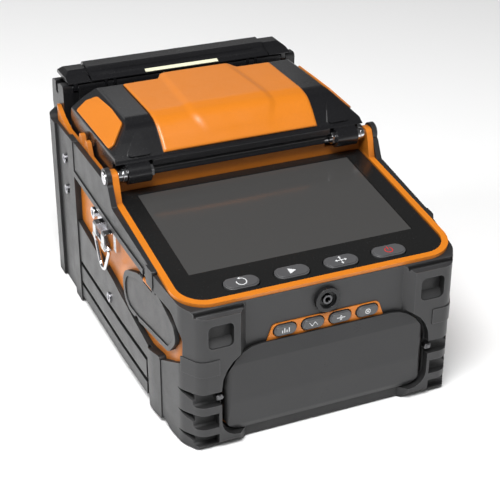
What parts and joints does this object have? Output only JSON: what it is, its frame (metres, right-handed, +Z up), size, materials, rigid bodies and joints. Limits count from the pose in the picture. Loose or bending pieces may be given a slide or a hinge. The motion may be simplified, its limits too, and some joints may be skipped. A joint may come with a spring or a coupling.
{
  "type": "fiber fusion splicer",
  "caption": "Portable fiber fusion splicer with tilted display, hinged wind cover, splice stage, tube heater, slide-out battery and rubber armour.",
  "frame": {"origin": "centre of the footprint on the plane of the feet", "axes": "+Y from the display end towards the heater end, +Z up, +X to the right when facing the display"},
  "size_m": [0.148, 0.196, 0.1132],
  "materials": {
    "orange_paint": "moulded orange plastic with a fine satin texture",
    "bumper_rubber": "dark grey moulded rubber, satin, soft edges",
    "armour_plastic": "dark grey satin plastic",
    "gloss_black": "glossy black plastic",
    "black_plastic": "black plastic, lightly textured",
    "bezel_black": "smooth black bezel",
    "display_glass": "tinted opaque display cover over a switched-off display",
    "key_grey": "dark grey keycap with a soft sheen",
    "feet_rubber": "black rubber",
    "chrome_steel": "bright polished metal",
    "screw_steel": "brushed steel",
    "insert_brass": "machined brass",
    "silver_alloy": "bead-blasted aluminium",
    "grey_alloy": "grey anodised aluminium",
    "block_ceramic": "white ceramic with a fine ground surface",
    "cream_strip": "pale cream strip",
    "lamp_white": "milky lamp cover",
    "cell_wrap": "shrink-wrapped cells",
    "board_green": "circuit board",
    "panel_plastic": "black moulded socket panel"
  },
  "bodies": {
    "chassis": {"main_housing": "orange_paint", "base_plate": "black_plastic", "rubber_feet": "feet_rubber", "base_screws": "screw_steel", "tripod_insert": "insert_brass", "front_bumper": "bumper_rubber", "rear_bumper": "bumper_rubber", "lower_armor_left": "armour_plastic", "lower_armor_right": "armour_plastic", "upper_rail_left": "armour_plastic", "upper_rail_right": "armour_plastic", "side_hardware": "screw_steel", "screen_frame": "orange_paint", "screen_bezel": "bezel_black", "lcd_window": "display_glass", "lcd_panel": "display_glass", "main_board": "board_green", "key_strip": "orange_paint", "laser_port_ring": "black_plastic", "laser_port_ferrule": "screw_steel", "hinge_pins": "chrome_steel", "stage_deck": "grey_alloy", "v_groove_block": "block_ceramic", "electrodes": "silver_alloy", "electrode_blocks": "grey_alloy", "camera_modules": "grey_alloy", "feed_motors": "silver_alloy", "heater_base": "black_plastic", "heater_plate": "silver_alloy", "heater_hinge_rod": "screw_steel", "strap_lugs": "chrome_steel", "port_panel": "panel_plastic"},
    "wind_cover": {"wind_cover_shell": "gloss_black", "wind_cover_panel": "orange_paint", "cover_insert_left": "orange_paint", "cover_insert_right": "orange_paint", "cover_lamp": "lamp_white"},
    "key_return": {"screen_key_return": "key_grey"},
    "key_start": {"screen_key_start": "key_grey"},
    "key_axis": {"screen_key_axis": "key_grey"},
    "key_power": {"screen_key_power": "key_grey"},
    "meter_1": {"meter_key_1": "key_grey"},
    "meter_2": {"meter_key_2": "key_grey"},
    "meter_3": {"meter_key_3": "key_grey"},
    "meter_4": {"meter_key_4": "key_grey"},
    "battery": {"battery_case": "armour_plastic", "battery_cells": "cell_wrap"},
    "latch_left": {"battery_latch_left": "screw_steel"},
    "latch_right": {"battery_latch_right": "screw_steel"},
    "stage_left": {"carriage_left": "silver_alloy"},
    "clamp_left": {"clamp_lid_left": "silver_alloy"},
    "stage_right": {"carriage_right": "silver_alloy"},
    "clamp_right": {"clamp_lid_right": "silver_alloy"},
    "heater_cover": {"heater_lid": "gloss_black", "heater_strip": "cream_strip"},
    "heater_end_left": {"heater_clamp_left": "gloss_black"},
    "heater_end_right": {"heater_clamp_right": "gloss_black"},
    "ring_left": {"strap_ring_left": "chrome_steel"},
    "ring_right": {"strap_ring_right": "chrome_steel"},
    "port_cover": {"port_door": "armour_plastic"}
  },
  "joints": [
    {"name": "wind_cover_hinge", "type": "hinge", "parent": "chassis", "child": "wind_cover", "pos_m": [0, -0.0043, 0.0922], "axis": [1, 0, 0], "range_deg": [0, 100]},
    {"name": "key_return_press", "type": "slide", "parent": "chassis", "child": "key_return", "axis": [0, 0.1323, -0.9912], "range_m": [0, 0.0008], "stiffness_N_per_m": 300},
    {"name": "key_start_press", "type": "slide", "parent": "chassis", "child": "key_start", "axis": [0, 0.1323, -0.9912], "range_m": [0, 0.0008], "stiffness_N_per_m": 300},
    {"name": "key_axis_press", "type": "slide", "parent": "chassis", "child": "key_axis", "axis": [0, 0.1323, -0.9912], "range_m": [0, 0.0008], "stiffness_N_per_m": 300},
    {"name": "key_power_press", "type": "slide", "parent": "chassis", "child": "key_power", "axis": [0, 0.1323, -0.9912], "range_m": [0, 0.0008], "stiffness_N_per_m": 300},
    {"name": "meter_1_press", "type": "slide", "parent": "chassis", "child": "meter_1", "axis": [0, 1, 0], "range_m": [0, 0.0008], "stiffness_N_per_m": 300},
    {"name": "meter_2_press", "type": "slide", "parent": "chassis", "child": "meter_2", "axis": [0, 1, 0], "range_m": [0, 0.0008], "stiffness_N_per_m": 300},
    {"name": "meter_3_press", "type": "slide", "parent": "chassis", "child": "meter_3", "axis": [0, 1, 0], "range_m": [0, 0.0008], "stiffness_N_per_m": 300},
    {"name": "meter_4_press", "type": "slide", "parent": "chassis", "child": "meter_4", "axis": [0, 1, 0], "range_m": [0, 0.0008], "stiffness_N_per_m": 300},
    {"name": "battery_slide", "type": "slide", "parent": "chassis", "child": "battery", "axis": [0, -1, 0], "range_m": [0, 0.068]},
    {"name": "latch_left_slide", "type": "slide", "parent": "chassis", "child": "latch_left", "axis": [-1, 0, 0], "range_m": [0, 0.0015], "stiffness_N_per_m": 200},
    {"name": "latch_right_slide", "type": "slide", "parent": "chassis", "child": "latch_right", "axis": [1, 0, 0], "range_m": [0, 0.0015], "stiffness_N_per_m": 200},
    {"name": "stage_left_feed", "type": "slide", "parent": "chassis", "child": "stage_left", "axis": [1, 0, 0], "range_m": [0, 0.003]},
    {"name": "stage_right_feed", "type": "slide", "parent": "chassis", "child": "stage_right", "axis": [-1, 0, 0], "range_m": [0, 0.003]},
    {"name": "clamp_left_hinge", "type": "hinge", "parent": "stage_left", "child": "clamp_left", "pos_m": [-0.031, 0.0475, 0.0926], "axis": [-1, 0, 0], "range_deg": [0, 85]},
    {"name": "clamp_right_hinge", "type": "hinge", "parent": "stage_right", "child": "clamp_right", "pos_m": [0.031, 0.0475, 0.0926], "axis": [-1, 0, 0], "range_deg": [0, 85]},
    {"name": "heater_cover_hinge", "type": "hinge", "parent": "chassis", "child": "heater_cover", "pos_m": [0, 0.0776, 0.1048], "axis": [1, 0, 0], "range_deg": [0, 90]},
    {"name": "heater_end_left_hinge", "type": "hinge", "parent": "chassis", "child": "heater_end_left", "pos_m": [-0.058, 0.0776, 0.1048], "axis": [1, 0, 0], "range_deg": [0, 90]},
    {"name": "heater_end_right_hinge", "type": "hinge", "parent": "chassis", "child": "heater_end_right", "pos_m": [0.058, 0.0776, 0.1048], "axis": [1, 0, 0], "range_deg": [0, 90]},
    {"name": "ring_left_swing", "type": "hinge", "parent": "chassis", "child": "ring_left", "pos_m": [-0.072, -0.0052, 0.0615], "axis": [0, 1, 0], "range_deg": [0, 110]},
    {"name": "ring_right_swing", "type": "hinge", "parent": "chassis", "child": "ring_right", "pos_m": [0.072, -0.0052, 0.0615], "axis": [0, -1, 0], "range_deg": [0, 110]},
    {"name": "port_cover_hinge", "type": "hinge", "parent": "chassis", "child": "port_cover", "pos_m": [-0.06702, -0.05304, 0.064], "axis": [-0.0401, 0.9992, 0], "range_deg": [0, 80]}
  ]
}
